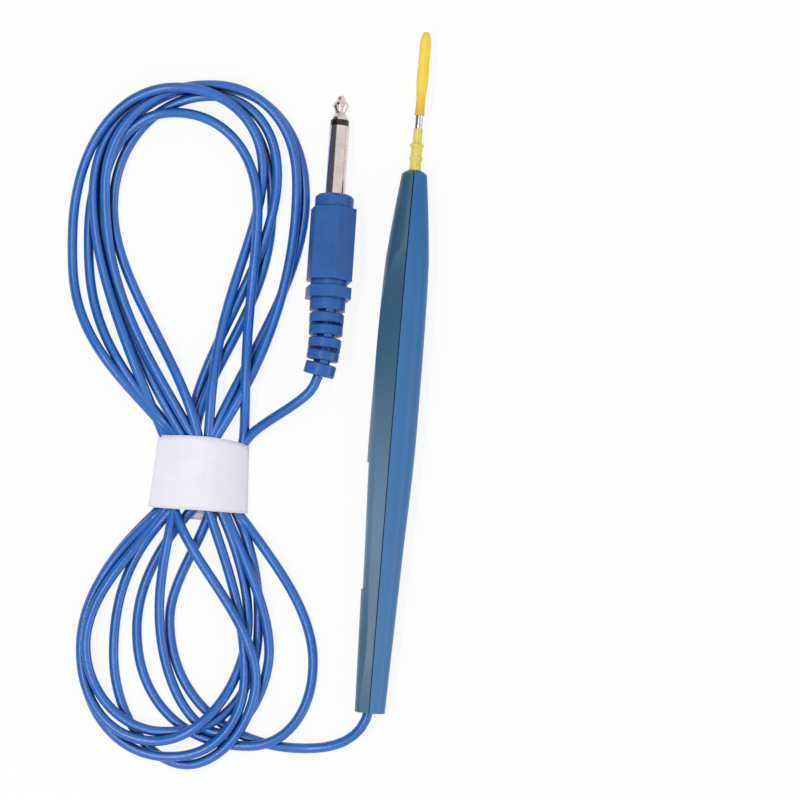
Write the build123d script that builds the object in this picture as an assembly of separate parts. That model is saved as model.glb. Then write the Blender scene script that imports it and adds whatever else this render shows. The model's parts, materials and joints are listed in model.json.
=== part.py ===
from build123d import *
import os
from math import atan, atan2, cos, degrees, pi, radians, sin, sqrt, tan

# Electrosurgical pencil with a blade electrode, its lead tied in a hank, and a 6.35 mm plug.
# Millimetres. The pencil lies along Y with its tip towards +Y, its seam on top, on the table at Z = 0.
# The origin is on the table, under the middle of the pencil's length.
# Along the pencil, a place is given by its depth: the distance behind the nose's edge, towards the tail.

# Shared clearances
overrun = 2.0
running_gap = 0.03
seat_gap = 0.1

# Lead
cord_radius = 1.6
wire_radius = 0.6
wire_grip = 3.0

# Handle, turned outline
handle_length = 172.7
belly_radius = 7.6
nose_radius = 4.05
nose_dome = 1.7
nose_bulge = 0.15
wall = 1.5

# Handle outline behind the nose's cone: depth as a share of the handle's length, radius as a share of the
# belly's, and the slope between those shares
outline_shares = [
    (0.158, 0.911, 1.02),
    (0.235, 0.966, 0.40),
    (0.481, 1.0, 0.0),
    (0.718, 0.834, -0.70),
    (1.0, 0.638, -0.68),
]

# Handle, finger facets on the left shell: each row is the place along the handle, the drop below the seam,
# both as shares, and the facet's slope across
facet_drop = 0.25
facet_rows_shares = [
    (0.125, -1.6, 0.08),
    (0.147, 0.0, 0.24),
    (0.170, 0.6, 0.33),
    (0.200, 0.9, 0.46),
    (0.231, 1.0, 0.62),
    (0.261, 1.0, 0.77),
    (0.315, 1.0, 0.84),
    (0.380, 1.0, 0.60),
    (0.440, 1.0, 0.42),
    (0.500, 1.0, 0.31),
    (0.600, 1.0, 0.24),
    (0.700, 1.0, 0.22),
    (0.800, 1.0, 0.17),
    (0.900, 1.0, 0.13),
    (1.020, 1.0, 0.13),
]

# Handle, as it lies: its seam is turned a little towards the left
handle_roll = -4.9

# Handle, bare recess on the left side, and the groove along the seam
recess_start = 93.0
recess_length = 40.5
recess_height = 8.4
recess_depth = 0.5
groove_width = 0.35
groove_depth = 0.7

# Handle, hollow, ribs and pins
hollow_start = 31.0
hollow_end = 164.0
left_hollow_radius = 3.9
rib_width = 1.4
pin_radius = 0.6
pin_length = 1.4
pin_gap = 0.05
pin_rib_depths = [50.0, 80.0, 110.0]
plain_rib_depths = [134.0]

# Contact socket in the nose
socket_start = 6.3
socket_length = 24.7
socket_radius = 1.8
socket_bore_depth = 21.7
socket_spigot_radius = 1.0
socket_spigot_length = 3.0
finger_slot_width = 0.5
finger_slot_length = 9.0
contact_ring_start = 9.0
contact_ring_width = 1.6
contact_ring_wall = 0.45
contact_ring_split = 0.9
collar_start = 20.0
collar_width = 3.0
collar_wall = 0.8

# Crimp behind the socket
ferrule_length = 7.8
ferrule_radius = 1.5
ferrule_sleeve_wall = 0.35
ferrule_sleeve_overlap = 2.0
jacket_start = 45.0

# Anchor of the lead inside the tail, and the flared mouth
anchor_start = 150.0
anchor_width = 3.0
anchor_wall = 1.3
mouth_start = 167.0
mouth_radius = 2.4
jacket_end = 166.3

# Electrode
shaft_radius = 1.18
shaft_inside = 26.0
sleeve_inside = 5.0
sleeve_out = 14.6
bare_shaft = 4.3
cover_length = 27.2
shaft_under_cover = 3.0
blade_width = 2.1
blade_thickness = 0.5
blade_tip_gap = 1.9
shaft_chamfer = 0.25
sleeve_rear_radius = 1.84
sleeve_middle_radius = 1.79
sleeve_front_radius = 1.45
sleeve_bore_gap = 0.06
sleeve_ridges = [(5.1, 2.15), (9.3, 2.25)]
ridge_width = 1.8
ridge_crest = 0.5

# Tip cover
cover_base_radius = 1.6
cover_neck_radius = 1.45
cover_neck_depth = 4.7
cover_width = 3.7
cover_thickness = 2.1
cover_pocket_gap = 0.1
cover_sections_shares = [
    (0.35, 0.97, 1.05),
    (0.55, 1.00, 1.00),
    (0.80, 0.97, 0.97),
    (0.93, 0.80, 0.85),
    (0.985, 0.45, 0.55),
]

# Plug, metal parts, measured from the front face of the moulding, forwards
barrel_radius = 3.175
barrel_length = 22.6
ring_width = 2.0
ring_radius = 2.97
tip_length = 8.3
tip_rows_shares = [
    (0.00, 0.84),
    (0.10, 0.84),
    (0.27, 0.56),
    (0.35, 0.57),
    (0.57, 0.835),
    (0.69, 0.72),
    (0.80, 0.45),
    (0.92, 0.34),
    (0.985, 0.22),
]
rod_radius = 1.0
tube_wall = 0.5
barrel_neck_inside = 2.0
barrel_neck_radius = 2.6
barrel_flange_radius = 4.4
barrel_flange_width = 3.0
tag_thickness = 0.6
tag_radius = 4.0
tag_arm_width = 2.6
tag_arm_length = 8.0
washer_width = 1.2
rivet_length = 1.0
rivet_radius = 1.7
tag_seat_radius = 2.9

# Plug, moulding, measured backwards from its front face
collar_length = 4.4
collar_radius = 6.2
collar_edge = 0.8
hex_flats = 13.5
hex_corner_radius = 0.6
hex_length = 23.5
hex_roll = -12.0
hex_groove_length = 2.1
hex_groove_radius = 5.9
hex_flange_length = 3.7
boot_radius = 5.7
boot_length = 3.8
plug_jacket_start = 18.0

# Strain relief: rings on a bent core, joined by spines that alternate by a quarter turn
relief_rings = 5
relief_pitch = 4.0
relief_gap = 0.9
relief_end_extra = 0.9
relief_straight_share = 0.35
relief_end_radius = 5.0
relief_core_radius = 2.7
relief_ring_edge = 0.35
relief_spine_width = 2.5
relief_bend = 15.2
relief_bend_dip = 34.0
relief_spine_roll = 11.0

# Plug, place on the table: it lies on the tip and on the front corner of the hexagon
plug_x = -24.85
plug_y = 54.4
plug_turn = 1.1
table_gap = 0.02

# Tie band round the hank's waist
band_x = -60.45
band_y = -38.0
band_top_width = 29.4
band_bottom_width = 31.0
band_length = 22.9
band_height = 9.4
band_end_radius = 2.2
band_wall = 0.35
band_tail_length = 2.0
band_tail_width = 10.5

# Hank, outer shape: reach to each side of the waist, and length beyond the band
hank_height = 8.0
upper_left_reach = 49.2
upper_right_reach = 27.9
upper_length = 115.2
lower_left_reach = 35.2
lower_right_reach = 42.2
lower_length = 83.6
upper_outer_shares = [
    (-0.29, 0.0), (-0.60, 0.125), (-0.87, 0.30), (-1.0, 0.52), (-0.94, 0.72), (-0.70, 0.90),
    (-0.22, 1.0), (0.33, 0.945), (0.80, 0.80), (1.0, 0.64), (0.90, 0.41), (0.66, 0.17), (0.52, 0.0),
]
upper_inner_shares = [
    (-0.11, 0.15), (-0.41, 0.34), (-0.64, 0.56), (-0.67, 0.70), (-0.56, 0.83), (-0.35, 0.885),
    (-0.05, 0.855), (0.26, 0.75), (0.36, 0.63), (0.16, 0.44), (0.03, 0.29),
]
lower_outer_shares = [
    (0.355, 0.0), (0.69, 0.24), (0.93, 0.43), (1.0, 0.56), (0.93, 0.76), (0.68, 0.87), (0.30, 0.955),
    (0.0, 1.0), (-0.45, 0.93), (-0.85, 0.75), (-1.0, 0.56), (-0.87, 0.33), (-0.61, 0.12), (-0.43, 0.0),
]
lower_inner_shares = [
    (0.02, 0.13), (0.28, 0.30), (0.40, 0.48), (0.36, 0.62), (0.24, 0.735), (0.04, 0.65), (-0.08, 0.56),
    (-0.12, 0.42), (-0.05, 0.26),
]

# Route of the lead where it isn't coiled, chosen by hand: from the handle to the hank, and from the plug
# to the hank. The table is at Z = 0.
tail_route = [
    (0.0, -103.0, 7.6),
    (0.0, -108.6, 7.6),
    (-2.1, -115.0, 6.4),
    (-6.9, -119.8, 4.2),
    (-13.4, -122.4, 2.4),
    (-20.6, -123.1, 1.62),
    (-27.6, -122.3, 1.62),
    (-34.0, -120.1, 1.62),
]
lead_first_run = 4.2
lead_route = [
    (-28.55, -11.45, 13.6),
    (-33.4, -15.4, 11.4),
    (-39.5, -19.9, 8.7),
    (-45.2, -24.1, 5.9),
]

# Sizes that follow
axis_height = belly_radius
outline_rows = [
    (along * handle_length, radius * belly_radius, slope * belly_radius / handle_length)
    for along, radius, slope in outline_shares
]
pencil_length = handle_length + sleeve_out + bare_shaft + cover_length
nose_y = handle_length - pencil_length / 2
mouth_end = handle_length
plug_front_to_tip = barrel_length + ring_width + tip_length
hex_circle_radius = hex_flats / sqrt(3)
relief_length = relief_rings * relief_pitch + relief_end_extra
relief_straight = relief_straight_share * relief_length
relief_start = collar_length + hex_length + hex_groove_length + hex_flange_length + boot_length
relief_radius = (relief_length - relief_straight) / radians(relief_bend)


def at_depth(shape, depth=0.0):
    """Moves a shape that is drawn about Y, with the nose's edge at Y = 0, to its place in the handle."""
    return Pos(0, nose_y - depth, axis_height) * shape


def turned(points):
    """A solid of revolution about Y from (radius, y) points."""
    outline = make_face(Polyline(*points, close=True))
    return revolve(outline, Axis.Y)


def rod(radius, start, end):
    """A cylinder about Y between two places on Y."""
    return turned([(0, start), (radius, start), (radius, end), (0, end)])


def tube(outer, inner, start, end):
    """A tube about Y between two places on Y."""
    return turned([(inner, start), (outer, start), (outer, end), (inner, end)])


def slab(width, height, start, end, x=0.0, z=0.0):
    """A block about Y between two places on Y."""
    return Pos(x, (start + end) / 2, z) * Box(width, abs(end - start), height)


# Handle

def handle_solid(inset=0.0):
    """The handle's whole turned form, with the nose's edge at Y = 0, or the same form set in by a wall."""
    dome = nose_dome - inset
    nose = (nose_radius - inset, 0)
    points = [(radius - inset, -depth) for depth, radius, _ in outline_rows]
    tangents = [(slope, -1) for _, _, slope in outline_rows]
    shoulder = points[0]
    tail = points[-1]
    middle = ((nose[0] + shoulder[0]) / 2 + nose_bulge, shoulder[1] / 2)
    spans = zip(points, points[1:], tangents, tangents[1:])
    front = TangentArc((0, dome), nose, tangent=(1, 0))
    cone = ThreePointArc(nose, middle, shoulder)
    barrel = [Spline(start, end, tangents=[leave, arrive]) for start, end, leave, arrive in spans]
    back = Polyline(tail, (0, -handle_length), (0, dome))
    return revolve(make_face([front, cone, *barrel, back]), Axis.Y)


def side_block(side):
    """Everything on one side of the seam."""
    reach = belly_radius + overrun
    length = handle_length + nose_dome + overrun
    return Pos(side * reach / 2, (nose_dome - handle_length) / 2, 0) * Box(reach, length, 2 * reach)


def axial_bore():
    """What both shells leave free along the axis: bores, pockets and the flared mouth."""
    sleeve_bore = sleeve_rear_radius + sleeve_bore_gap
    free = rod(sleeve_bore, nose_dome + overrun, -socket_start)
    free += rod(socket_radius, -socket_start, -hollow_start)
    ring_radius_out = socket_radius + contact_ring_wall + seat_gap
    ring_back = contact_ring_start + contact_ring_width
    free += rod(ring_radius_out, seat_gap - contact_ring_start, -ring_back - seat_gap)
    free += rod(socket_radius + collar_wall, -collar_start, -collar_start - collar_width)
    free += rod(cord_radius, -hollow_start, -mouth_start)
    flare = [
        (0, -mouth_start),
        (cord_radius, -mouth_start),
        (mouth_radius, -mouth_end),
        (mouth_radius, -mouth_end - overrun),
        (0, -mouth_end - overrun),
    ]
    return free + turned(flare)


def rib_slabs():
    """The slabs that the ribs fill: cradles for the lead, and the two that trap the anchor."""
    reach = 2 * (belly_radius + overrun)
    depths = pin_rib_depths + plain_rib_depths
    anchor_front = anchor_start - seat_gap - rib_width / 2
    anchor_back = anchor_start + anchor_width + seat_gap + rib_width / 2
    slabs = [
        slab(reach, reach, rib_width / 2 - depth, -rib_width / 2 - depth)
        for depth in depths + [anchor_front, anchor_back]
    ]
    return slabs


def pin_places():
    """Pins sit on the ribs, above and below the left shell's hollow."""
    height = left_hollow_radius + pin_radius + pin_gap + 0.5 * pin_radius
    return [(-depth, sign * height) for depth in pin_rib_depths for sign in (1, -1)]


def facet_cutter():
    """The stock above the left shell's upper finger facet."""
    reach = belly_radius + overrun
    sections = []
    for along, drop, slope in facet_rows_shares:
        depth = along * handle_length
        top = outline_radius(depth) - drop * facet_drop
        corners = [
            (overrun, top + slope * overrun),
            (-reach, top - slope * reach),
            (-reach, reach + overrun),
            (overrun, reach + overrun),
        ]
        section = Plane.XZ.offset(depth) * make_face(Polyline(*corners, close=True))
        sections.append(section)
    return loft(sections)


def outline_radius(depth):
    """Radius of the handle's outline at a depth behind the nose, along the same curve as the solid."""
    shoulder_depth, shoulder_radius, _ = outline_rows[0]
    if depth < shoulder_depth:
        share = depth / shoulder_depth
        straight = nose_radius + share * (shoulder_radius - nose_radius)
        return straight + 4 * nose_bulge * share * (1 - share)
    for first, last in zip(outline_rows, outline_rows[1:]):
        if depth <= last[0] or last is outline_rows[-1]:
            break
    length = last[0] - first[0]
    share = (depth - first[0]) / length
    blend = share * share * (3 - 2 * share)
    start_pull = share * (1 - share) ** 2 * first[2] * length
    end_pull = share * share * (share - 1) * last[2] * length
    return first[1] + blend * (last[1] - first[1]) + start_pull + end_pull


def make_right_shell():
    hollow = handle_solid(wall) & side_block(1)
    hollow &= slab(4 * belly_radius, 4 * belly_radius, -hollow_start, -hollow_end)
    for rib in rib_slabs():
        hollow -= rib
    shell = (handle_solid() & side_block(1)) - hollow - axial_bore()
    skin = handle_solid() - handle_solid(groove_depth)
    top_groove = slab(2 * groove_width, 2 * belly_radius, nose_dome, -mouth_end, z=belly_radius)
    shell -= skin & top_groove
    for y, z in pin_places():
        pin = Pos(0, y, z) * Rot(0, 90, 0) * Cylinder(pin_radius, 2 * pin_length)
        shell += pin & slab(4 * pin_length, 2 * belly_radius, nose_dome, -mouth_end, x=-2 * pin_length)
    return shell


def make_left_shell():
    hollow = rod(left_hollow_radius, -hollow_start, -hollow_end)
    for rib in rib_slabs():
        hollow -= rib
    shell = (handle_solid() & side_block(-1)) - hollow - axial_bore()
    upper = facet_cutter()
    shell = shell - upper - mirror(upper, Plane.XY)
    skin = handle_solid() - handle_solid(recess_depth)
    recess_end = recess_start + recess_length
    window = slab(2 * belly_radius, recess_height, -recess_start, -recess_end, x=-belly_radius)
    shell -= skin & window
    for y, z in pin_places():
        hole_depth = pin_length + pin_gap
        shell -= Pos(0, y, z) * Rot(0, 90, 0) * Cylinder(pin_radius + pin_gap, 2 * hole_depth)
    return shell


# Contact socket, crimp and the lead's end inside the handle

def make_electrode_socket():
    end = socket_start + socket_length
    body = rod(socket_radius, -socket_start, -end)
    body += rod(socket_spigot_radius, -end, -end - socket_spigot_length)
    body -= rod(shaft_radius + running_gap, -socket_start, -socket_start - socket_bore_depth)
    slot = slab(4 * socket_radius, finger_slot_width, -socket_start, -socket_start - finger_slot_length)
    return body - slot - Rot(0, 90, 0) * slot


def make_contact_ring():
    back = contact_ring_start + contact_ring_width
    ring = tube(socket_radius + contact_ring_wall, socket_radius, -contact_ring_start, -back)
    split_from = seat_gap - contact_ring_start
    return ring - slab(contact_ring_split, 4 * socket_radius, split_from, -back - seat_gap, z=2 * socket_radius)


def make_socket_collar():
    return tube(socket_radius + collar_wall, socket_radius, -collar_start, -collar_start - collar_width)


def make_crimp_ferrule():
    start = socket_start + socket_length
    end = start + ferrule_length
    ferrule = rod(ferrule_radius, -start, -end)
    ferrule -= rod(socket_spigot_radius, -start, -start - socket_spigot_length)
    return ferrule - rod(wire_radius, -start, -end)


def make_ferrule_sleeve():
    start = socket_start + socket_length
    end = start + ferrule_length + ferrule_sleeve_overlap
    return tube(ferrule_radius + ferrule_sleeve_wall, ferrule_radius, -start, -end)


def make_handle_conductor():
    start = socket_start + socket_length + socket_spigot_length
    return rod(wire_radius, -start, -jacket_start - wire_grip)


def make_cord_in_handle():
    jacket = rod(cord_radius, -jacket_start, -jacket_end)
    return jacket - rod(wire_radius, -jacket_start, -jacket_start - wire_grip)


def make_cord_anchor():
    return tube(cord_radius + anchor_wall, cord_radius, -anchor_start, -anchor_start - anchor_width)


# Electrode and its cover

def make_electrode_blade():
    cover_start = sleeve_out + bare_shaft
    shaft_front = cover_start + shaft_under_cover
    blade_end = cover_start + cover_length - blade_tip_gap
    shaft = turned([
        (0, -shaft_inside),
        (shaft_radius - shaft_chamfer, -shaft_inside),
        (shaft_radius, shaft_chamfer - shaft_inside),
        (shaft_radius, shaft_front - shaft_radius),
        (blade_thickness / 2, shaft_front),
        (0, shaft_front),
    ])
    flat_from = shaft_front - shaft_radius
    blade = slab(blade_width, blade_thickness, flat_from, blade_end - blade_width / 2)
    blade += Pos(0, blade_end - blade_width / 2, 0) * Cylinder(blade_width / 2, blade_thickness)
    return shaft + blade


def make_insulating_sleeve():
    outline = [(shaft_radius, -sleeve_inside), (sleeve_rear_radius, -sleeve_inside)]
    radii = [sleeve_rear_radius, sleeve_middle_radius, sleeve_front_radius]
    for number, (place, crest) in enumerate(sleeve_ridges):
        outline += [
            (radii[number], place - ridge_width / 2),
            (crest, place - ridge_crest / 2),
            (crest, place + ridge_crest / 2),
            (radii[number + 1], place + ridge_width / 2),
        ]
    outline += [(sleeve_front_radius, sleeve_out), (shaft_radius, sleeve_out)]
    return turned(outline)


def make_tip_cover():
    start = sleeve_out + bare_shaft
    end = start + cover_length
    base = turned([
        (0, start),
        (cover_base_radius, start),
        (cover_neck_radius, start + cover_neck_depth),
        (0, start + cover_neck_depth),
    ])
    neck = Plane.XZ.offset(-start - cover_neck_depth) * Circle(cover_neck_radius)
    sections = [neck]
    for along, width, thickness in cover_sections_shares:
        outline = Ellipse(width * cover_width / 2, thickness * cover_thickness / 2)
        sections.append(Plane.XZ.offset(-start - along * cover_length) * outline)
    paddle = loft(sections)
    shaft_bore = rod(shaft_radius + running_gap, start - overrun, start + shaft_under_cover + seat_gap)
    pocket_width = blade_width + 2 * cover_pocket_gap
    pocket_height = blade_thickness + 2 * cover_pocket_gap
    pocket_end = end - blade_tip_gap + cover_pocket_gap
    pocket = slab(pocket_width, pocket_height, start, pocket_end - blade_width / 2)
    rounding = Cylinder(pocket_width / 2, pocket_height)
    pocket += Pos(0, pocket_end - blade_width / 2, 0) * rounding
    return base + paddle - shaft_bore - pocket


# Plug, drawn about Y with the moulding's front face at Y = 0

def hexagon(flats, start, end):
    """A hexagonal block about Y with rounded corners, rolled as the plug lies."""
    outline = RegularPolygon(flats / 2, 6, major_radius=False, rotation=30 + hex_roll)
    outline = fillet(outline.vertices(), hex_corner_radius)
    return extrude(Plane.XZ.offset(-start) * outline, amount=start - end)


def make_plug_barrel():
    flange_front = barrel_neck_inside
    flange_back = barrel_neck_inside + barrel_flange_width
    return turned([
        (rod_radius + tube_wall, barrel_length),
        (barrel_radius, barrel_length),
        (barrel_radius, 0),
        (barrel_neck_radius, 0),
        (barrel_neck_radius, -flange_front),
        (barrel_flange_radius, -flange_front),
        (barrel_flange_radius, -flange_back),
        (rod_radius + tube_wall, -flange_back),
    ])


def make_plug_insulator_ring():
    return tube(ring_radius, rod_radius, barrel_length, barrel_length + ring_width)


def tag_stack():
    """Places behind the moulding's front face of the sleeve tag, washer, tip tag and rivet."""
    sleeve_tag = barrel_neck_inside + barrel_flange_width
    washer = sleeve_tag + tag_thickness
    tip_tag = washer + washer_width
    return sleeve_tag, washer, tip_tag, tip_tag + tag_thickness


def make_plug_tip():
    start = barrel_length + ring_width
    head = [(share * barrel_radius, start + along * tip_length) for along, share in tip_rows_shares]
    rivet = tag_stack()[3]
    rear = [
        (0, -rivet - rivet_length),
        (rivet_radius, -rivet - rivet_length),
        (rivet_radius, -rivet),
        (rod_radius, -rivet),
        (rod_radius, start),
    ]
    return turned(rear + head + [(0, start + tip_length)])


def make_plug_inner_tube():
    return tube(rod_radius + tube_wall, rod_radius, barrel_length, -tag_stack()[2])


def make_plug_sleeve_tag():
    start = tag_stack()[0]
    tag = tube(tag_radius, rod_radius + tube_wall, -start, -start - tag_thickness)
    arm_x = tag_radius - tag_thickness / 2
    arm = slab(tag_thickness, tag_arm_width, -start, -start - tag_arm_length, x=arm_x)
    return tag + arm


def make_plug_rear_washer():
    start = tag_stack()[1]
    washer = tube(tag_radius - tag_thickness, rod_radius + tube_wall, -start, -start - washer_width)
    return washer


def make_plug_tip_tag():
    start = tag_stack()[2]
    tag = tube(tag_seat_radius, rod_radius, -start, -start - tag_thickness)
    arm_z = tag_thickness / 2 - tag_seat_radius
    return tag + slab(tag_arm_width, tag_thickness, -start, -start - tag_arm_length, z=arm_z)


def make_plug_conductor():
    arm_top = tag_thickness - tag_seat_radius
    low = arm_top + wire_radius
    arm_end = tag_stack()[2] + tag_arm_length
    path = FilletPolyline(
        (0, -arm_end + wire_grip, low),
        (0, -arm_end, low),
        (0, -plug_jacket_start + wire_radius, 0),
        (0, -plug_jacket_start - wire_grip, 0),
        radius=wire_radius * 2,
    )
    return sweep(Plane.XZ.offset(arm_end - wire_grip) * Pos(0, low) * Circle(wire_radius), path=path)


def relief_frame(length):
    """Place and direction along the strain relief, straight at first and then bent, behind its start."""
    straight = min(length, relief_straight)
    angle = degrees((length - straight) / relief_radius)
    side = relief_radius * (1 - cos(radians(angle)))
    back = relief_start + straight + relief_radius * sin(radians(angle))
    return Pos(-side, -back, 0) * Rot(0, 0, -angle)


def in_bend_plane(shape):
    """Turns a shape that bends towards -X to the way the relief droops, towards -X and down."""
    return Rot(0, -relief_bend_dip, 0) * shape


def bent_rod(radius):
    """A rod that follows the strain relief from its start to its end."""
    bend_start = relief_start + relief_straight
    section = Plane.XZ.offset(bend_start) * Circle(radius)
    pivot = Axis((-relief_radius, -bend_start, 0), (0, 0, -1))
    return rod(radius, -relief_start, -bend_start) + revolve(section, pivot, revolution_arc=relief_bend)


def make_cord_in_plug():
    jacket = rod(cord_radius, -plug_jacket_start, -relief_start) + in_bend_plane(bent_rod(cord_radius))
    return jacket - rod(wire_radius, -plug_jacket_start, -plug_jacket_start - wire_grip)


def relief_ring(number):
    """One ring of the strain relief, with the two spines that join it to what is in front of it."""
    is_last = number == relief_rings - 1
    ring_width_here = relief_pitch - relief_gap + (relief_end_extra if is_last else 0)
    middle = number * relief_pitch + relief_gap + ring_width_here / 2
    share = (number + 1) / relief_rings
    radius = boot_radius + share * (relief_end_radius - boot_radius)
    half_width = ring_width_here / 2
    flat = half_width - relief_ring_edge
    rim = radius - relief_ring_edge
    ring = relief_frame(middle) * turned([
        (0, half_width), (rim, half_width), (radius, flat), (radius, -flat), (rim, -half_width), (0, -half_width),
    ])
    spine_length = relief_gap + 2 * seat_gap
    spine = slab(relief_spine_width, 2 * radius, spine_length / 2, -spine_length / 2)
    keep = rod(radius, spine_length, -spine_length)
    turn = relief_spine_roll + relief_bend_dip + 90 * (number % 2)
    gap_middle = number * relief_pitch + relief_gap / 2
    return ring + relief_frame(gap_middle) * Rot(0, turn, 0) * (spine & keep)


def make_plug_moulding(inner_pieces):
    hex_start = collar_length
    hex_end = hex_start + hex_length
    flange_start = hex_end + hex_groove_length
    flange_end = flange_start + hex_flange_length
    body = turned([
        (0, 0),
        (collar_radius - collar_edge, 0),
        (collar_radius, -collar_edge),
        (collar_radius, -hex_start),
        (hex_groove_radius, -hex_start),
        (hex_groove_radius, -flange_end),
        (boot_radius, -flange_end),
        (boot_radius, -relief_start),
        (0, -relief_start),
    ])
    body += hexagon(hex_flats, -hex_start, -hex_end)
    body += hexagon(hex_flats, -flange_start, -flange_end)
    relief = bent_rod(relief_core_radius)
    for number in range(relief_rings):
        relief += relief_ring(number)
    body += in_bend_plane(relief)
    for piece in inner_pieces:
        body -= piece
    return max(body.solids(), key=lambda solid: solid.volume)


def plug_location():
    """Lays the plug on the table: down on its tip, up on the front corner of the hexagon."""
    rounding_centre = hex_circle_radius - hex_corner_radius / cos(radians(30))
    hex_low = rounding_centre * cos(radians(hex_roll)) + hex_corner_radius
    widest_along, widest_share = max(tip_rows_shares[3:], key=lambda row: row[1])
    tip_low = widest_share * barrel_radius
    tip_place = barrel_length + ring_width + widest_along * tip_length
    dip = atan((hex_low - tip_low) / (tip_place + collar_length))
    height = tip_place * sin(dip) + tip_low * cos(dip) + table_gap
    return Pos(plug_x, plug_y, height) * Rot(0, 0, plug_turn) * Rot(-degrees(dip), 0, 0)


# Lead, hank and band

def corner_radii(route):
    """The largest arc that each corner of a route allows."""
    radii = []
    for before, here, after in zip(route, route[1:], route[2:]):
        arriving = Vector(here) - Vector(before)
        leaving = Vector(after) - Vector(here)
        half_turn = radians(arriving.get_angle(leaving)) / 2
        radii.append(0.45 * min(arriving.length, leaving.length) / tan(half_turn))
    return radii


def cord_tube(name, route):
    """A plain tube of the lead along a route, and what was checked of it."""
    radii = corner_radii(route)
    path = FilletPolyline(*route, radius=radii)
    start = Plane(origin=route[0], z_dir=Vector(route[1]) - Vector(route[0]))
    solid = sweep(start * Circle(cord_radius), path=path)
    expected = pi * cord_radius ** 2 * path.length
    print(name, "radii", [round(radius, 1) for radius in radii])
    print(name, "length", round(path.length, 1), "volume share", round(solid.volume / expected, 4))
    return solid


def lobe(shares, waist, left_reach, right_reach, length):
    """A closed plan outline of one lobe of the hank, from shares of its reach and length."""
    points = []
    for across, along in shares:
        reach = left_reach if across < 0 else right_reach
        points.append((band_x + across * reach, waist + along * length))
    return points


def make_cord_hank():
    top = band_y + band_length / 2
    bottom = band_y - band_length / 2
    upper = (top, upper_left_reach, upper_right_reach, upper_length)
    lower = (bottom, lower_left_reach, lower_right_reach, -lower_length)
    solid = None
    for outer, inner, sizes in (
        (upper_outer_shares, upper_inner_shares, upper),
        (lower_outer_shares, lower_inner_shares, lower),
    ):
        rim = lobe(outer, *sizes)
        outline = make_face([Spline(*rim), Line(rim[-1], rim[0])])
        window = make_face(Spline(*lobe(inner, *sizes), periodic=True))
        loop = extrude(outline, amount=hank_height) - extrude(window, amount=hank_height)
        solid = loop if solid is None else solid + loop
    solid -= Pos(band_x, band_y, 0) * Box(2 * band_bottom_width, band_length, 4 * hank_height)
    return solid + band_block(band_wall + seat_gap, band_length + 2 * seat_gap)


def band_section(width, inset):
    """The band's outline across the hank, set in all round: flat below, low at its round ends, higher between."""
    end_radius = band_end_radius - inset
    reach = width / 2 - band_end_radius
    height = band_height - 2 * inset
    top_radius = (height + reach ** 2 / (height - 2 * end_radius)) / 2
    lean = atan2(end_radius - height + top_radius, reach)
    halfway = (lean - pi / 2) / 2
    foot = (reach, 0)
    side = (reach + end_radius * cos(halfway), end_radius + end_radius * sin(halfway))
    shoulder = (reach + end_radius * cos(lean), end_radius + end_radius * sin(lean))
    left_foot, left_side, left_shoulder = [(-x, z) for x, z in (foot, side, shoulder)]
    outline = [
        Line(left_foot, foot),
        ThreePointArc(foot, side, shoulder),
        ThreePointArc(shoulder, (0, height), left_shoulder),
        ThreePointArc(left_shoulder, left_side, left_foot),
    ]
    return Pos(0, inset) * make_face(outline)


def band_block(inset, length):
    """The block inside the band, or with no inset the band's outer form, a little wider at its lower end."""
    upper = Plane.XZ.offset(-length / 2) * band_section(band_top_width, inset)
    lower = Plane.XZ.offset(length / 2) * band_section(band_bottom_width, inset)
    return Pos(band_x, band_y, 0) * loft([upper, lower])


def make_tie_band():
    """The strip round the waist, with its free end underneath."""
    band = band_block(0.0, band_length) - band_block(band_wall, band_length)
    tail_y = band_y - (band_length + band_tail_length) / 2
    return band + Pos(band_x, tail_y, band_wall / 2) * Box(band_tail_width, band_tail_length, band_wall)


def build():
    handle_makers = {
        "right_shell": make_right_shell,
        "left_shell": make_left_shell,
        "electrode_socket": make_electrode_socket,
        "contact_ring": make_contact_ring,
        "socket_collar": make_socket_collar,
        "crimp_ferrule": make_crimp_ferrule,
        "ferrule_sleeve": make_ferrule_sleeve,
        "handle_conductor": make_handle_conductor,
        "cord_in_handle": make_cord_in_handle,
        "cord_anchor": make_cord_anchor,
        "electrode_blade": make_electrode_blade,
        "insulating_sleeve": make_insulating_sleeve,
        "tip_cover": make_tip_cover,
    }
    nodes = {name: at_depth(make()) for name, make in handle_makers.items()}
    for name in ("right_shell", "left_shell"):
        nodes[name] = nodes[name].rotate(Axis((0, 0, axis_height), (0, 1, 0)), handle_roll)

    plug = {
        "plug_barrel": make_plug_barrel(),
        "plug_insulator_ring": make_plug_insulator_ring(),
        "plug_tip": make_plug_tip(),
        "plug_inner_tube": make_plug_inner_tube(),
        "plug_sleeve_tag": make_plug_sleeve_tag(),
        "plug_rear_washer": make_plug_rear_washer(),
        "plug_tip_tag": make_plug_tip_tag(),
        "plug_conductor": make_plug_conductor(),
        "cord_in_plug": make_cord_in_plug(),
    }
    plug["plug_moulding"] = make_plug_moulding(list(plug.values()))
    place = plug_location()
    nodes.update({name: place * piece for name, piece in plug.items()})

    relief_end = place * Rot(0, -relief_bend_dip, 0) * relief_frame(relief_length)
    lead_start = [
        tuple((relief_end * Pos(0, -along, 0)).position)
        for along in (0, lead_first_run)
    ]
    print("lead starts at", [[round(value, 2) for value in point] for point in lead_start])
    nodes["cord_tail"] = cord_tube("cord_tail", tail_route)
    nodes["cord_lead"] = cord_tube("cord_lead", lead_start + lead_route)
    nodes["tie_band"] = make_tie_band()
    nodes["cord_hank"] = make_cord_hank()
    for name in ("cord_tail", "cord_lead", "tie_band"):
        nodes["cord_hank"] -= nodes[name]
    return nodes


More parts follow.
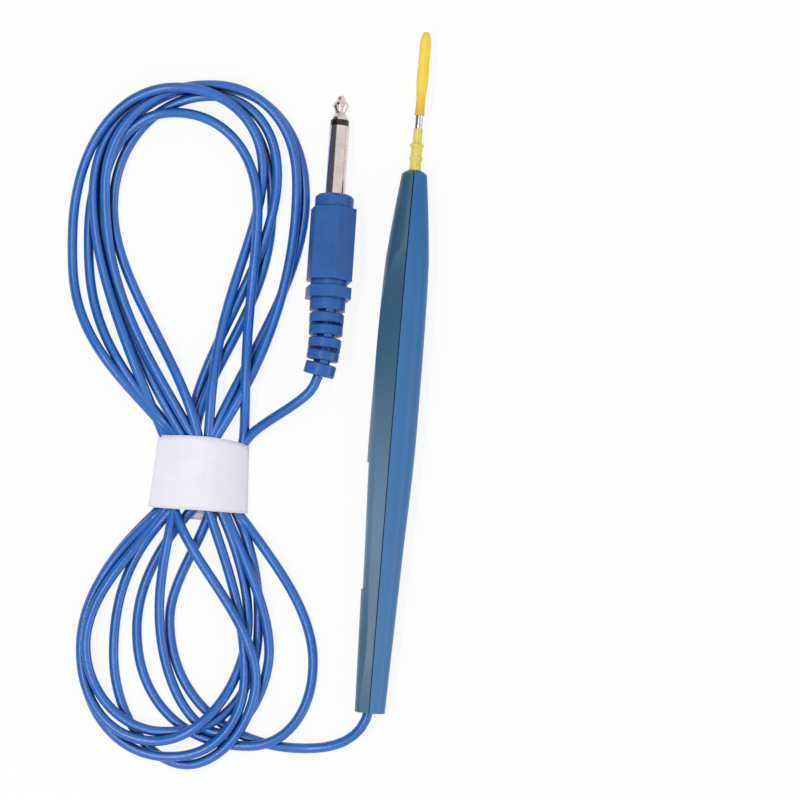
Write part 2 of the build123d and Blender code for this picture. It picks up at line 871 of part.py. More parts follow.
os.makedirs("parts", exist_ok=True)
for node, shape in build().items():
    export_step(shape, f"parts/{node}.step")
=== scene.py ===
"""Electrosurgical pencil with its lead tied in a hank, seen from straight above on a white table.

Everything is in metres in the frame of the CAD parts: the pencil lies along Y with its tip towards +Y, and
the table is at Z = 0.
"""
import json
from math import cos, hypot, pi, radians, sin

import bpy
import numpy as np
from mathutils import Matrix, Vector


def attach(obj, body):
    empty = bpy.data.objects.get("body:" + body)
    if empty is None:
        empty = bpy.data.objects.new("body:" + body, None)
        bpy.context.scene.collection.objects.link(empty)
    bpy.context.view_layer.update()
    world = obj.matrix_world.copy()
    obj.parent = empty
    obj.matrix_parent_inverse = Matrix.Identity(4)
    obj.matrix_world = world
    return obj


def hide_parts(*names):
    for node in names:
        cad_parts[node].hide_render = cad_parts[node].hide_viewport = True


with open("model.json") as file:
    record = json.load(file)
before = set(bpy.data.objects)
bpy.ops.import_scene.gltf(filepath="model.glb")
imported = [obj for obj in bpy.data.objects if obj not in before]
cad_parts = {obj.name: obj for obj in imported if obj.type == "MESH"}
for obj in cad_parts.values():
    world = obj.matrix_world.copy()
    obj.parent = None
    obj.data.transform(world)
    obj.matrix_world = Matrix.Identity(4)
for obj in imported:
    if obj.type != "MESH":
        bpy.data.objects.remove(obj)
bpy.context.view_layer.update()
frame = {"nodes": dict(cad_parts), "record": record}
nodes = frame["nodes"]

# The photograph's view
view_centre = (0.00136, -0.0090)
view_turn = radians(4.76)
view_width = 0.256
camera_height = 1.10
focus_height = 0.0076
sensor = 36.0
nearest_seen = 0.01
furthest_seen = 10.0

# Table: how far it reaches, the size of its faint clouds, its roughness, and how much of its white is its own
table_reach = 3.0
table_cloud = 0.2
table_roughness = 0.8
table_glow_share = 0.88

# Room: how bright it is, and its dim side, with where the dimness starts, is full, and what light is left
room_share = 0.5
dim_side = (-0.93, 0.36, 0.0)
dim_start = 0.54
dim_end = 0.62
dim_share = 0.12
white = (1.0, 1.0, 1.0, 1.0)

# Lamps: a wide one that lights without being reflected, and two strips that draw lines along round shapes,
# the right one only as a reflection
lamps = [
    dict(name="overhead", place=(0.10, -0.15, 1.30), aim=(0.0, 0.0, 0.0), size=(1.6, 1.6), power=3.6,
         reflected=False),
    dict(name="left strip", place=(-0.37, -0.25, 1.14), aim=(0.0, -0.25, 0.0), size=(1.0, 0.07), power=5.2),
    dict(name="right strip", place=(1.15, -0.28, 0.34), aim=(0.0, -0.28, 0.0), size=(0.95, 0.16), power=3.4,
         lighting=False),
]

# Lead: its size, how finely its tube is rounded, how steeply it climbs to a crossing, how far apart its
# points are, and how it is let down on itself
cord_diameter = 0.0032
cord_radius = cord_diameter / 2
cord_section_steps = 6
cord_line_steps = 2
rise = 0.34
point_step = 0.0029
fewest_steps = 6
points_in_a_touch = 4
settle_rounds = 80
smoothing_rounds = 3
highest_crossing = 0.0105

# Hank: its own directions are the photograph's right and up, from the middle of the band
hank_centre = (-0.0606, -0.0384)
hank_size = 0.120
slot_reach_share = 0.102

# Tie band: a strip round the hank's waist, in the frame's directions
band_centre = (-0.06045, -0.0380)
band_top_width = 0.0294
band_bottom_width = 0.0320
band_length = 0.0229
band_height = 0.0094
band_end_radius = 0.0022
band_wall = 0.00035
band_rows = 14
band_section_steps = 12

# How the band bulges upwards over the hank, where its corners drop, and its faint dents
band_bulge = 0.0008
band_bulge_power = 1.5
band_top_corner_drop = 0.0010
band_bottom_corner_drop = 0.0005
band_corner_power = 3
band_dent = 0.00006
band_dents_across = 1700
band_dents_lean = 2.0

# The band's free end, which lies flat underneath
band_tail_place = 0.0010
band_tail_width = 0.0105
band_tail_length = 0.0034
band_tail_columns = 8

# Room that the band leaves the lead, and how strands are pressed under it
band_edge_room = 0.0018
band_side_room = 0.0004
band_end_gap = 0.0002
band_least_room = 0.0004
band_arc_share = 0.9
band_mouth_rise = 0.40
press_power = 4

# The lead's route outside the hank: from the handle to the hank, and from the hank to the plug
tail_route = [
    (0.0, -0.1030, 0.0076),
    (0.0, -0.1086, 0.0076),
    (-0.0021, -0.1150, 0.0064),
    (-0.0069, -0.1198, 0.0042),
    (-0.0134, -0.1224, 0.0024),
]
lead_route = [
    (-0.0502, -0.0325, 0.0022),
    (-0.0482, -0.0284, 0.0022),
    (-0.0464, -0.0252, 0.0032),
    (-0.0439, -0.0224, 0.0052),
    (-0.0395, -0.0188, 0.0083),
    (-0.0338, -0.0146, 0.0113),
    (-0.0288, -0.0104, 0.0134),
    (-0.02615, -0.0070, 0.01415),
    (-0.02523, -0.0034, 0.01423),
]

# Turns of the hank, in the order in which the lead passes through them. Each row is one open loop, from its
# right leg over its crown to its left leg, in shares of the hank's size from the middle of the band:
# where the right leg leaves the band, its widest place (across, along), the crown (across, along), the left
# leg's widest place (across, along), where it enters the band, how the right and the left half bend (the
# lean at the band, the sway of the leg and the fullness of the bow), and how high the loop lies at the
# right leg, right side, crown, left side and left leg.
upper_turns_shares = [
    (0.117, (0.155, 0.709), (-0.067, 0.969), (-0.264, 0.709), -0.043,
     (1.3, 0.30, 2.15), (1.6, 0.0, 2.15), (1.0, 4.0, 2.0, 0.5, 5.2)),
    (-0.032, (0.207, 0.805), (0.032, 1.013), (-0.234, 0.717), -0.003,
     (0.25, 0.0, 2.15), (0.5, 0.0, 2.05), (0.0, 1.0, 1.5, 0.6, 6.0)),
    (-0.011, (0.192, 0.731), (-0.032, 1.029), (-0.285, 0.744), -0.097,
     (0.0, -0.12, 2.15), (1.25, 0.0, 2.15), (0.2, 0.5, 1.0, 1.4, 5.0)),
    (0.043, (0.259, 0.784), (0.032, 1.042), (-0.253, 0.757), -0.016,
     (2.1, 0.0, 2.15), (1.5, -0.05, 2.15), (0.6, 2.0, 3.0, 2.0, 5.6)),
    (0.032, (0.281, 0.744), (0.032, 1.040), (-0.300, 0.637), -0.059,
     (1.1, 0.0, 2.15), (1.9, -0.06, 2.15), (0.4, 0.0, 0.0, 0.2, 5.4)),
    (0.024, (0.168, 0.816), (-0.059, 1.033), (-0.343, 0.624), -0.075,
     (0.4, 0.185, 2.15), (1.45, -0.10, 2.15), (0.8, 3.0, 4.0, 1.0, 5.8)),
]
lower_turns_shares = [
    (0.027, (0.121, 0.528), (-0.080, 0.752), (-0.319, 0.464), -0.121,
     (1.54, 0.0, 2.15), (2.0, 0.0, 2.15), (6.5, 3.4, 3.0, 1.0, 0.0)),
    (0.059, (0.128, 0.389), (-0.120, 0.709), (-0.319, 0.464), -0.112,
     (1.8, 0.0, 1.9), (2.0, 0.0, 2.15), (5.5, 3.0, 4.0, 3.0, 0.4)),
    (-0.064, (0.151, 0.544), (-0.035, 0.775), (-0.233, 0.483), -0.085,
     (0.77, 0.0, 1.8), (2.45, 0.0, 1.95), (7.5, 7.0, 1.5, 0.5, 0.5)),
    (0.096, (0.156, 0.376), (-0.099, 0.685), (-0.304, 0.456), -0.101,
     (2.27, 0.0, 2.5), (1.23, -0.03, 1.95), (5.2, 3.1, 2.0, 4.0, 0.6)),
    (0.067, (0.185, 0.475), (0.059, 0.691), (-0.109, 0.368), -0.072,
     (1.33, 0.0, 1.7), (1.19, 0.0, 1.95), (6.0, 4.0, 1.2, 2.0, 0.8)),
    (0.101, (0.302, 0.501), (0.128, 0.725), (-0.171, 0.416), -0.032,
     (1.55, 0.0, 2.15), (1.99, 0.0, 2.15), (6.2, 1.0, 1.0, 1.0, 0.3)),
]

# The half turn that comes from the handle: its crown, its widest place, where it enters the band, its lean
# there, its fullness, and how high it lies at those three places
entry_crown_share = (0.283, -0.733)
entry_widest_share = (-0.083, -0.389)
entry_slot_share = 0.024
entry_lean = 0.9
entry_fullness = 2.1
entry_levels = (0.1, 0.0, 0.4)

# Later colours along Y, each with where it starts and where it is full. On the handle's shells they are a
# painted reflection, lighter towards the tail; on the electrode's cover the colour turns darker towards the
# handle
teal_painted_reflection_stops = (
    ((0.030, -0.010), (76, 113, 141)),
    ((-0.010, -0.050), (93, 128, 155)),
    ((-0.055, -0.085), (72, 110, 138)),
)
blue_painted_reflection_stops = (((0.055, -0.085), (78, 128, 180)),)
cover_stops = (((0.0905, 0.0815), (226, 186, 62)),)

# Materials in general: the part of a noise that goes from dark to light, and how far light spreads in soft
# plastic
noise_spread = (0.35, 0.65)
light_reach = 0.0008

# Small spots on plastic and specks on metal: their size, where in a noise they start and are full, and how
# strong they are
spot_size = 0.0005
spot_start = 0.66
spot_full = 0.78
spot_strength = 0.25
speck_full = 0.74
speck_strength = 0.8

# Painted shade in joints and creases: how near another face has to be for the colour to darken, between parts
# of the moulding and between strands of the lead, and the part of the closeness that goes from light to dark
crease_shade_reach = 0.0010
strand_shade_reach = 0.0024
painted_shade_range = (0.35, 0.85)
painted_shade_samples = 8

# Moulded plastic: the size of its clouds and grain and the grain's depth where a kind has no others, the
# shells' finer grain, the details of clouds and grain, and how far its roughness goes below and above the
# middle value
mould_cloud = 0.02
mould_grain = 0.0005
mould_depth = 0.000010
shell_grain = 0.00045
shell_depth = 0.000008
mould_details = (2.0, 3.0)
mould_roughness_shares = (0.8, 1.2)

# Metal: the size of its clouds and of its fine lines, their depth, and how far its roughness goes
metal_cloud = 0.004
metal_line = 0.0003
metal_depth = 0.000004
metal_roughness_shares = (0.7, 1.4)


def link(piece):
    bpy.context.scene.collection.objects.link(piece)
    return piece


def to_frame(across, along):
    """A place in the hank's own directions, in metres, as a place in the frame."""
    x = hank_centre[0] + across * cos(view_turn) - along * sin(view_turn)
    y = hank_centre[1] + across * sin(view_turn) + along * cos(view_turn)
    return x, y


def steps_between(start, end):
    """How many points a stretch of a turn needs."""
    apart = hypot(end[0] - start[0], end[1] - start[1]) * hank_size
    return max(fewest_steps, round(apart / point_step))


def leg(widest, slot_across, lean, sway=0.0):
    """A leg from a loop's widest place to the band, leaving the widest place along the hank."""
    reach = slot_reach_share if widest[1] > 0 else -slot_reach_share
    count = steps_between(widest, (slot_across, reach))
    points = []
    for number in range(1, count + 1):
        u = number / count
        share = (3 - lean) * u ** 2 + (lean - 2) * u ** 3 + sway * (4 * u * (1 - u)) ** 2
        points.append((widest[0] + share * (slot_across - widest[0]), widest[1] + u * (reach - widest[1])))
    return points


def bow(crown, widest, fullness):
    """A quarter of a loop, from its crown to its widest place."""
    count = steps_between(crown, widest)
    points = []
    for number in range(count + 1):
        angle = number / count * pi / 2
        across = crown[0] + sin(angle) ** (2 / fullness) * (widest[0] - crown[0])
        along = widest[1] + cos(angle) ** (2 / fullness) * (crown[1] - widest[1])
        points.append((across, along))
    return points


def loop(row, side):
    """One turn's loop: its places and how high each lies, from its right leg to its left leg."""
    right_slot, right, crown, left, left_slot, right_bend, left_bend, heights = row
    right, crown, left = [(across, side * along) for across, along in (right, crown, left)]
    pieces = [
        leg(right, right_slot, *right_bend[:2])[::-1],
        bow(crown, right, right_bend[2])[::-1],
        bow(crown, left, left_bend[2])[1:],
        leg(left, left_slot, *left_bend[:2]),
    ]
    places = [place for piece in pieces for place in piece]
    marks = np.cumsum([0] + [len(piece) for piece in pieces])
    levels = np.interp(range(len(places)), marks, heights)
    return [(across, along, level) for (across, along), level in zip(places, levels)]


def entry():
    """The half turn that comes from the handle, from beside its crown to the band."""
    bend = bow(entry_crown_share, entry_widest_share, entry_fullness)
    run = leg(entry_widest_share, entry_slot_share, entry_lean)
    levels = np.interp(range(len(bend) + len(run)), [0, len(bend), len(bend) + len(run)], entry_levels)
    return [(across, along, level) for (across, along), level in zip(bend + run, levels)]


def pass_under_band(before, after):
    """The stretch under the band between two loops, leaving and arriving as the loops do."""
    start, end = before[-1], after[0]
    run = end[1] - start[1]
    leave = (start[0] - before[-2][0]) / (start[1] - before[-2][1]) * run
    arrive = (after[1][0] - end[0]) / (after[1][1] - end[1]) * run
    count = steps_between(start, end)
    points = []
    for number in range(1, count):
        u = number / count
        blend = u * u * (3 - 2 * u)
        across = start[0] + blend * (end[0] - start[0])
        across += u * (1 - u) ** 2 * leave + u * u * (u - 1) * arrive
        points.append((across, start[1] + u * run, start[2] + u * (end[2] - start[2])))
    return points


def plan_of_hank():
    """Places of the coiled lead, in shares, with how high each lies, in the order the lead runs."""
    plan = entry()
    for upper, lower in zip(upper_turns_shares, lower_turns_shares):
        for turn in (loop(upper, 1), loop(lower, -1)):
            plan += pass_under_band(plan, turn) + turn
    return plan


def smooth(values):
    """The same row of values with each one drawn towards its neighbours."""
    drawn = values.copy()
    drawn[1:-1] = (values[:-2] + 2 * values[1:-1] + values[2:]) / 4
    return drawn


def settle(plan, level):
    """Lets the lead down on the table and on itself: at a crossing, the higher level lies on the lower."""
    count = len(plan)
    index = np.arange(count)
    apart = np.linalg.norm(plan[:, None] - plan[None], axis=2)
    crossing = np.abs(index[:, None] - index[None]) > points_in_a_touch
    under, over = np.nonzero((apart < cord_diameter) & crossing & (level[:, None] < level[None]))
    lift = np.sqrt(cord_diameter ** 2 - apart[under, over] ** 2)
    climb = rise * np.linalg.norm(np.diff(plan, axis=0), axis=1)
    height = np.full(count, cord_radius)
    for _ in range(settle_rounds):
        np.maximum.at(height, over, height[under] + lift)
        for place in range(1, count):
            height[place] = max(height[place], height[place - 1] - climb[place - 1])
        for place in range(count - 2, -1, -1):
            height[place] = max(height[place], height[place + 1] - climb[place])
        height = smooth(np.minimum(height, highest_crossing))
    return height


def band_width(share):
    """The band's width, a share of its length below its upper edge."""
    return band_top_width + share * (band_bottom_width - band_top_width)


def band_arc_radius(width):
    """Radius of the arc over the band's middle, which runs into its round ends."""
    reach = width / 2 - band_end_radius
    return (band_height + reach ** 2 / (band_height - 2 * band_end_radius)) / 2


def beyond_band(line, room):
    """How far each place lies beyond the band's edges and some room more."""
    return np.maximum(0, np.abs(line[:, 1] - band_centre[1]) - band_length / 2 - room)


def under_band(line):
    """Keeps the lead inside the band's sides where the band holds it."""
    share = np.clip((band_centre[1] + band_length / 2 - line[:, 1]) / band_length, 0, 1)
    room = band_width(share) / 2 - band_wall - cord_radius - band_end_gap
    room += beyond_band(line, band_side_room)
    return band_centre[0] + np.clip(line[:, 0] - band_centre[0], -room, room)


def ceiling(line):
    """How high the lead may lie: below the band where it is under it, and higher away from it."""
    arc = band_arc_radius((band_top_width + band_bottom_width) / 2)
    inner = arc - band_wall - cord_radius
    beside = np.minimum(np.abs(line[:, 0] - band_centre[0]), band_arc_share * inner)
    top = band_height - arc + np.sqrt(inner ** 2 - beside ** 2)
    top = np.maximum(top, cord_radius + band_least_room)
    return top + band_mouth_rise * beyond_band(line, band_edge_room)


def press(heights, limit):
    """Presses the strands down below a limit, keeping the order in which they lie."""
    raised = (heights - cord_radius) / (limit - cord_radius)
    pressed = raised / (1 + raised ** press_power) ** (1 / press_power)
    return cord_radius + pressed * (limit - cord_radius)


def hank_points():
    """Control points of the coiled lead, from beside the handle to the band's upper edge."""
    shares = np.array(plan_of_hank())
    plan = np.array([to_frame(*place) for place in shares[:, :2] * hank_size])
    plan[:, 0] = under_band(plan)
    limit = ceiling(plan)
    heights = press(settle(plan, shares[:, 2]), limit)
    for _ in range(smoothing_rounds):
        heights = smooth(heights)
    heights = np.clip(heights, cord_radius, limit)
    return [(x, y, z) for (x, y), z in zip(plan.tolist(), heights.tolist())]


def make_cord(jacket):
    """The whole lead, from the handle through the hank to the plug, as one smooth line."""
    points = tail_route + hank_points() + lead_route
    curve = bpy.data.curves.new("cord", "CURVE")
    curve.dimensions = "3D"
    curve.bevel_depth = cord_radius
    curve.bevel_resolution = cord_section_steps
    curve.resolution_u = cord_line_steps
    curve.use_fill_caps = True
    spline = curve.splines.new("NURBS")
    spline.points.add(len(points) - 1)
    for point, place in zip(spline.points, points):
        point.co = (*place, 1.0)
    spline.order_u = 3
    spline.use_endpoint_u = True
    curve.materials.append(jacket)
    piece = link(bpy.data.objects.new("cord", curve))
    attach(piece, "pencil")
    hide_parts("cord_tail", "cord_hank", "cord_lead")
    return piece


def band_outline(width):
    """Places round the band's section, from the middle underneath: flat below, round ends, arched above."""
    count = band_section_steps
    reach = width / 2 - band_end_radius
    arc = band_arc_radius(width)
    lean = np.arctan2(band_end_radius - band_height + arc, reach)
    corners = [(share * reach, 0.0) for share in np.linspace(0, 1, count, endpoint=False)]
    for angle in np.linspace(-pi / 2, lean, count, endpoint=False):
        corners.append((reach + band_end_radius * cos(angle), band_end_radius * (1 + sin(angle))))
    for angle in np.linspace(lean, pi / 2, 2 * count):
        corners.append((arc * cos(angle), band_height - arc + arc * sin(angle)))
    left = [(-x, z) for x, z in corners[-2:0:-1]]
    return corners + left


def band_place(share, width, x, z):
    """A place on the wrapped strip, from a place on its section and a share of its length."""
    raised = z / band_height
    swell = (1 - (2 * x / width) ** 2) * raised
    dent = band_dent * sin(x * band_dents_across + share * band_dents_lean) * sin(share * pi) * raised
    right = max(0.0, 2 * x / width)
    left = max(0.0, -2 * x / width)
    drop = band_top_corner_drop * right ** band_corner_power * (1 - share)
    drop += band_bottom_corner_drop * left * share
    y = band_centre[1] + band_length * (0.5 - share) + band_bulge * swell * (1 - share) ** band_bulge_power
    return band_centre[0] + x, y - drop, z + dent


def make_band(paper):
    """The strip round the waist, with its free end underneath."""
    verts = []
    for row in range(band_rows + 1):
        share = row / band_rows
        width = band_width(share)
        verts += [band_place(share, width, x, z) for x, z in band_outline(width)]
    ring = len(verts) // (band_rows + 1)
    faces = []
    for row in range(band_rows):
        upper = row * ring
        lower = upper + ring
        for place in range(ring):
            after = (place + 1) % ring
            faces.append((upper + place, upper + after, lower + after, lower + place))
    first = len(verts)
    edge = band_centre[1] - band_length / 2
    for share in (0.0, 1.0):
        for column in range(band_tail_columns + 1):
            beside = (column / band_tail_columns - 0.5) * band_tail_width
            x = band_centre[0] + band_tail_place + beside
            verts.append((x, edge - share * band_tail_length, 0.0))
    for corner in range(first, first + band_tail_columns):
        below = corner + band_tail_columns + 1
        faces.append((corner, corner + 1, below + 1, below))
    mesh = bpy.data.meshes.new("band")
    mesh.from_pydata(verts, [], faces)
    mesh.shade_smooth()
    mesh.materials.append(paper)
    piece = link(bpy.data.objects.new("band", mesh))
    thick = piece.modifiers.new("thickness", "SOLIDIFY")
    thick.thickness = band_wall
    thick.offset = -1.0
    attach(piece, "pencil")
    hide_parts("tie_band")
    return piece


def linear(red, green, blue):
    """A colour written 0 to 255 as on a screen, as the renderer's own light."""
    def one(value):
        share = value / 255
        return share / 12.92 if share <= 0.04045 else ((share + 0.055) / 1.055) ** 2.4
    return (one(red), one(green), one(blue), 1.0)


class Surface:
    """A material under construction, with short ways to add what its nodes need."""

    def __init__(self, name):
        self.made = bpy.data.materials.new(name)
        self.made.use_nodes = True
        self.tree = self.made.node_tree
        self.shader = self.tree.nodes["Principled BSDF"]
        self.where = self.tree.nodes.new("ShaderNodeTexCoord").outputs["Object"]

    def join(self, start, end):
        self.tree.links.new(start, end)

    def noise(self, size, detail=2.0, stretch=(1.0, 1.0, 1.0)):
        """Cloudy noise with spots of about a size in metres, which may be stretched along an axis."""
        place = self.tree.nodes.new("ShaderNodeMapping")
        place.inputs["Scale"].default_value = [share / size for share in stretch]
        self.join(self.where, place.inputs["Vector"])
        made = self.tree.nodes.new("ShaderNodeTexNoise")
        made.inputs["Scale"].default_value = 1.0
        made.inputs["Detail"].default_value = detail
        self.join(place.outputs["Vector"], made.inputs["Vector"])
        return made.outputs["Fac"]

    def remap(self, value, low, high, start=noise_spread[0], end=noise_spread[1]):
        """A value from low to high, while another goes from start to end."""
        made = self.tree.nodes.new("ShaderNodeMapRange")
        made.inputs["From Min"].default_value = start
        made.inputs["From Max"].default_value = end
        made.inputs["To Min"].default_value = low
        made.inputs["To Max"].default_value = high
        self.join(value, made.inputs["Value"])
        return made.outputs["Result"]

    def mix(self, share, first, second):
        """A colour between two, each written 0 to 255 as on a screen, or another node's output."""
        made = self.tree.nodes.new("ShaderNodeMix")
        made.data_type = "RGBA"
        self.join(share, made.inputs["Factor"])
        for name, colour in (("A", first), ("B", second)):
            socket = next(place for place in made.inputs if place.name == name and place.type == "RGBA")
            if isinstance(colour, tuple):
                socket.default_value = linear(*colour)
            else:
                self.join(colour, socket)
        return next(place for place in made.outputs if place.type == "RGBA")

    def along(self, axis, start, end):
        """From 0 to 1 along one of the frame's axes."""
        made = self.tree.nodes.new("ShaderNodeSeparateXYZ")
        self.join(self.where, made.inputs["Vector"])
        return self.remap(made.outputs[axis], 0.0, 1.0, start, end)

    def closeness(self, reach):
        """0 on an open face, rising to 1 deep in a joint narrower than the reach; used to paint shade into
        joints.
        """
        made = self.tree.nodes.new("ShaderNodeAmbientOcclusion")
        made.inputs["Distance"].default_value = reach
        made.samples = painted_shade_samples
        return self.remap(made.outputs["AO"], 1.0, 0.0, *painted_shade_range)

    def spots(self, strength, full):
        """0 nearly all over, rising to a strength in small scattered spots."""
        return self.remap(self.noise(spot_size, 1.0), 0.0, strength, spot_start, full)

    def colour(self, value):
        self.join(value, self.shader.inputs["Base Color"])

    def grain(self, value, smoothest, roughest, depth):
        """Roughness and slight relief that follow the same noise."""
        self.join(self.remap(value, smoothest, roughest), self.shader.inputs["Roughness"])
        made = self.tree.nodes.new("ShaderNodeBump")
        made.inputs["Distance"].default_value = depth
        made.inputs["Strength"].default_value = 1.0
        self.join(value, made.inputs["Height"])
        self.join(made.outputs["Normal"], self.shader.inputs["Normal"])

    def plain(self, **values):
        """Sets values that are the same all over, such as specular_ior_level, on the shader's own sockets."""
        sockets = {socket.name.lower().replace(" ", "_"): socket for socket in self.shader.inputs}
        for name, value in values.items():
            sockets[name].default_value = value


def plastic(name, dark, light, cloud, grain, roughness, depth, details=(2.0, 2.0), stretch=(1.0, 1.0, 1.0),
            stops=(), spots=None, joints=None, reach=crease_shade_reach):
    """Plastic or paper: slow clouds of colour, fine grain, and where asked, later colours, spots and painted
    shade in joints.

    stops are later colours along Y, each with where it starts and where it is full; on the shells they are a
    painted reflection, lighter towards the tail. details are those of the clouds and of the grain, and
    roughness is its lowest and highest value.
    """
    made = Surface(name)
    colour = made.mix(made.remap(made.noise(cloud, details[0]), 0.0, 1.0), dark, light)
    for (start, end), later in stops:
        # On the handle's shells the later colours are a painted reflection, lighter towards the tail.
        colour = made.mix(made.along("Y", start, end), colour, later)
    if spots is not None:
        colour = made.mix(made.spots(spot_strength, spot_full), colour, spots)
    # Painted shade: a darker colour where another face is near, in joints, creases and between strands.
    if joints is not None:
        colour = made.mix(made.closeness(reach), colour, joints)
    made.colour(colour)
    made.grain(made.noise(grain, details[1], stretch), *roughness, depth)
    return made


def moulded(name, dark, light, roughness, cloud=mould_cloud, grain=mould_grain, depth=mould_depth, sheen=0.5,
            **more):
    """Hard moulded plastic, with more detail in its grain."""
    low, high = [roughness * share for share in mould_roughness_shares]
    made = plastic(name, dark, light, cloud, grain, (low, high), depth, details=mould_details, **more)
    made.plain(specular_ior_level=sheen)
    return made


def metal(name, dark, light, roughness, stretch, specks=None):
    """Drawn or turned metal: fine lines along or round it, and slight staining."""
    made = Surface(name)
    made.plain(metallic=1.0)
    colour = made.mix(made.remap(made.noise(metal_cloud), 0.0, 1.0), dark, light)
    if specks is not None:
        colour = made.mix(made.spots(speck_strength, speck_full), colour, specks)
    made.colour(colour)
    low, high = [roughness * share for share in metal_roughness_shares]
    made.grain(made.noise(metal_line, stretch=stretch), low, high, metal_depth)
    return made


def make_materials():
    """One finished material for each kind of surface, by the record's slot names. Colours are 0 to 255."""
    # The dark colours given for joints below are painted shade in the shells' seam and creases and in the
    # plug moulding's joints.
    teal = moulded("shell teal", (45, 92, 122), (50, 96, 127), roughness=0.36, grain=shell_grain,
                   depth=shell_depth, stops=teal_painted_reflection_stops, spots=(84, 118, 140), joints=(8, 20, 28), sheen=0.42)
    blue = moulded("shell blue", (52, 112, 172), (56, 116, 176), roughness=0.34, grain=shell_grain,
                   depth=shell_depth, stops=blue_painted_reflection_stops, spots=(80, 128, 176), joints=(8, 26, 50), sheen=0.12)
    plug = moulded("plug moulding", (43, 95, 168), (49, 101, 175), roughness=0.34, cloud=0.008,
                   joints=(8, 26, 64), sheen=0.3)
    nylon = moulded("natural nylon", (216, 210, 192), (226, 221, 206), roughness=0.5, grain=0.0006)
    black = moulded("black", (14, 14, 16), (24, 24, 27), roughness=0.32)
    washer = moulded("bonded paper", (92, 58, 34), (112, 72, 44), roughness=0.6, grain=0.0003, depth=0.00003)
    cover = plastic("cover yellow", (255, 217, 62), (255, 221, 72), cloud=0.004, grain=0.0004,
                    roughness=(0.32, 0.46), depth=0.00001, stops=cover_stops)
    cover.plain(subsurface_weight=0.15, subsurface_scale=light_reach)
    sleeve = plastic("sleeve yellow", (228, 212, 92), (238, 224, 112), cloud=0.0025, grain=0.0005,
                     roughness=(0.3, 0.45), depth=0.000015)
    sleeve.plain(subsurface_weight=0.2, subsurface_scale=light_reach)
    # The lead's dark colour for joints is painted shade where its strands lie against each other.
    jacket = plastic("cord jacket", (8, 95, 183), (18, 105, 197), cloud=0.012, grain=0.0007,
                     roughness=(0.28, 0.33), depth=0.0000007, joints=(10, 34, 92), reach=strand_shade_reach)
    jacket.plain(specular_ior_level=0.72)
    strip = plastic("band strip", (239, 237, 249), (243, 241, 253), cloud=0.006, grain=0.0004,
                    roughness=(0.5, 0.66), depth=0.000008, details=(4.0, 4.0), stretch=(1.0, 0.4, 1.0))
    steel = metal("stainless", (180, 178, 180), (200, 198, 198), roughness=0.24, stretch=(1.0, 0.05, 1.0))
    brass = metal("brass", (188, 150, 80), (206, 170, 96), roughness=0.28, stretch=(0.2, 1.0, 0.2))
    copper = metal("copper", (188, 112, 80), (208, 134, 98), roughness=0.34, stretch=(1.0, 0.1, 1.0))
    nickel = metal("nickel", (206, 192, 191), (220, 206, 205), roughness=0.12, stretch=(0.05, 1.0, 0.05),
                   specks=(120, 108, 106))
    return {
        "shell_teal": teal, "shell_blue": blue, "stainless": steel, "sleeve_yellow": sleeve,
        "cover_yellow": cover, "brass": brass, "natural_nylon": nylon, "shrink_black": black,
        "copper": copper, "cord_blue": jacket, "band_white": strip, "plug_blue": plug,
        "nickel": nickel, "washer_brown": washer,
    }


def make_camera():
    """The camera straight above the table, turned as in the photograph."""
    data = bpy.data.cameras.new("camera")
    data.sensor_width = sensor
    data.lens = sensor * (camera_height - focus_height) / view_width
    data.clip_start = nearest_seen
    data.clip_end = furthest_seen
    camera = link(bpy.data.objects.new("camera", data))
    camera.location = (*view_centre, camera_height)
    camera.rotation_euler = (0, 0, view_turn)
    bpy.context.scene.camera = camera


def make_light(name, place, aim, size, power, reflected=True, lighting=True):
    """A rectangular lamp, which may light the object without being reflected in it, or only be reflected."""
    data = bpy.data.lights.new(name, "AREA")
    data.shape = "RECTANGLE"
    data.size, data.size_y = size
    data.energy = power
    light = link(bpy.data.objects.new(name, data))
    light.location = place
    light.visible_glossy = reflected
    light.visible_diffuse = lighting
    light.rotation_euler = (Vector(aim) - Vector(place)).to_track_quat("-Z", "Y").to_euler()


def seen_plainly(tree, names):
    """1 for the light paths named, and 0 for the others."""
    path = tree.nodes.new("ShaderNodeLightPath")
    total = path.outputs[names[0]]
    for name in names[1:]:
        either = tree.nodes.new("ShaderNodeMath")
        either.operation = "MAXIMUM"
        tree.links.new(total, either.inputs[0])
        tree.links.new(path.outputs[name], either.inputs[1])
        total = either.outputs["Value"]
    return total


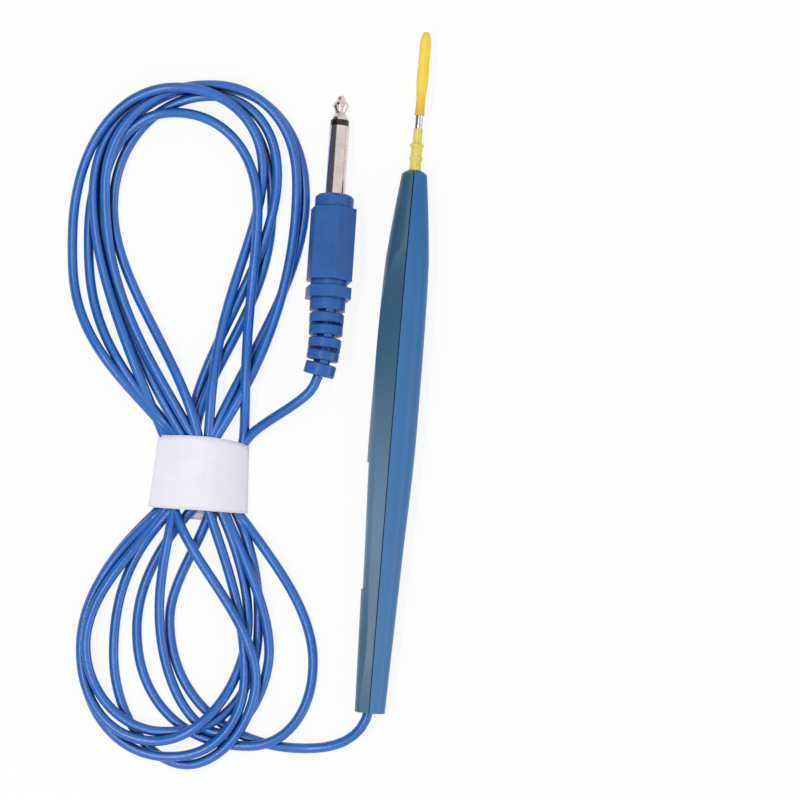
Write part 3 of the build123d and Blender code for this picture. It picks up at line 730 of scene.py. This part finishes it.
def make_floor():
    """A white table, partly white by itself where it is seen or reflected, so that it keeps the shadows."""
    mesh = bpy.data.meshes.new("floor")
    corners = [(-1, -1), (1, -1), (1, 1), (-1, 1)]
    mesh.from_pydata([(x * table_reach, y * table_reach, 0) for x, y in corners], [], [(0, 1, 2, 3)])
    floor = link(bpy.data.objects.new("floor", mesh))
    table = Surface("table")
    table.plain(roughness=table_roughness)
    table.colour(table.mix(table.remap(table.noise(table_cloud), 0.0, 1.0), (253, 253, 254), (255, 255, 255)))
    tree = table.tree
    glow = tree.nodes.new("ShaderNodeEmission")
    glow.inputs["Strength"].default_value = 1.0
    share = tree.nodes.new("ShaderNodeMath")
    share.operation = "MULTIPLY"
    share.inputs[1].default_value = table_glow_share
    paths = ("Is Camera Ray", "Is Glossy Ray", "Is Transmission Ray")
    tree.links.new(seen_plainly(tree, paths), share.inputs[0])
    both = tree.nodes.new("ShaderNodeMixShader")
    tree.links.new(share.outputs["Value"], both.inputs["Fac"])
    tree.links.new(table.shader.outputs["BSDF"], both.inputs[1])
    tree.links.new(glow.outputs["Emission"], both.inputs[2])
    tree.links.new(both.outputs["Shader"], tree.nodes["Material Output"].inputs["Surface"])
    mesh.materials.append(table.made)


def make_world():
    """A white room that is dim on its far left side, plain white to the camera."""
    world = bpy.data.worlds.new("world")
    bpy.context.scene.world = world
    world.use_nodes = True
    tree = world.node_tree
    room = tree.nodes["Background"]
    where = tree.nodes.new("ShaderNodeTexCoord")
    side = tree.nodes.new("ShaderNodeVectorMath")
    side.operation = "DOT_PRODUCT"
    side.inputs[1].default_value = dim_side
    tree.links.new(where.outputs["Generated"], side.inputs[0])
    dim = tree.nodes.new("ShaderNodeMapRange")
    dim.interpolation_type = "SMOOTHSTEP"
    dim.inputs["From Min"].default_value = dim_start
    dim.inputs["From Max"].default_value = dim_end
    dim.inputs["To Min"].default_value = 1.0
    dim.inputs["To Max"].default_value = dim_share
    tree.links.new(side.outputs["Value"], dim.inputs["Value"])
    strength = tree.nodes.new("ShaderNodeMapRange")
    strength.inputs["To Min"].default_value = room_share
    tree.links.new(dim.outputs["Result"], strength.inputs["To Max"])
    tree.links.new(seen_plainly(tree, ("Is Glossy Ray", "Is Transmission Ray")), strength.inputs["Value"])
    room.inputs["Color"].default_value = white
    tree.links.new(strength.outputs["Result"], room.inputs["Strength"])
    plain = tree.nodes.new("ShaderNodeBackground")
    plain.inputs["Color"].default_value = white
    plain.inputs["Strength"].default_value = 1.0
    both = tree.nodes.new("ShaderNodeMixShader")
    tree.links.new(seen_plainly(tree, ("Is Camera Ray",)), both.inputs["Fac"])
    tree.links.new(room.outputs["Background"], both.inputs[1])
    tree.links.new(plain.outputs["Background"], both.inputs[2])
    tree.links.new(both.outputs["Shader"], tree.nodes["World Output"].inputs["Surface"])


bpy.context.scene.view_settings.view_transform = "Standard"
make_camera()
make_floor()
make_world()
for lamp in lamps:
    make_light(**lamp)

materials = make_materials()
for part in frame["record"]["subparts"]:
    for place in nodes[part["node"]].material_slots:
        place.material = materials[part["material_slot"]].made
cord = make_cord(materials["cord_blue"].made)
band = make_band(materials["band_white"].made)
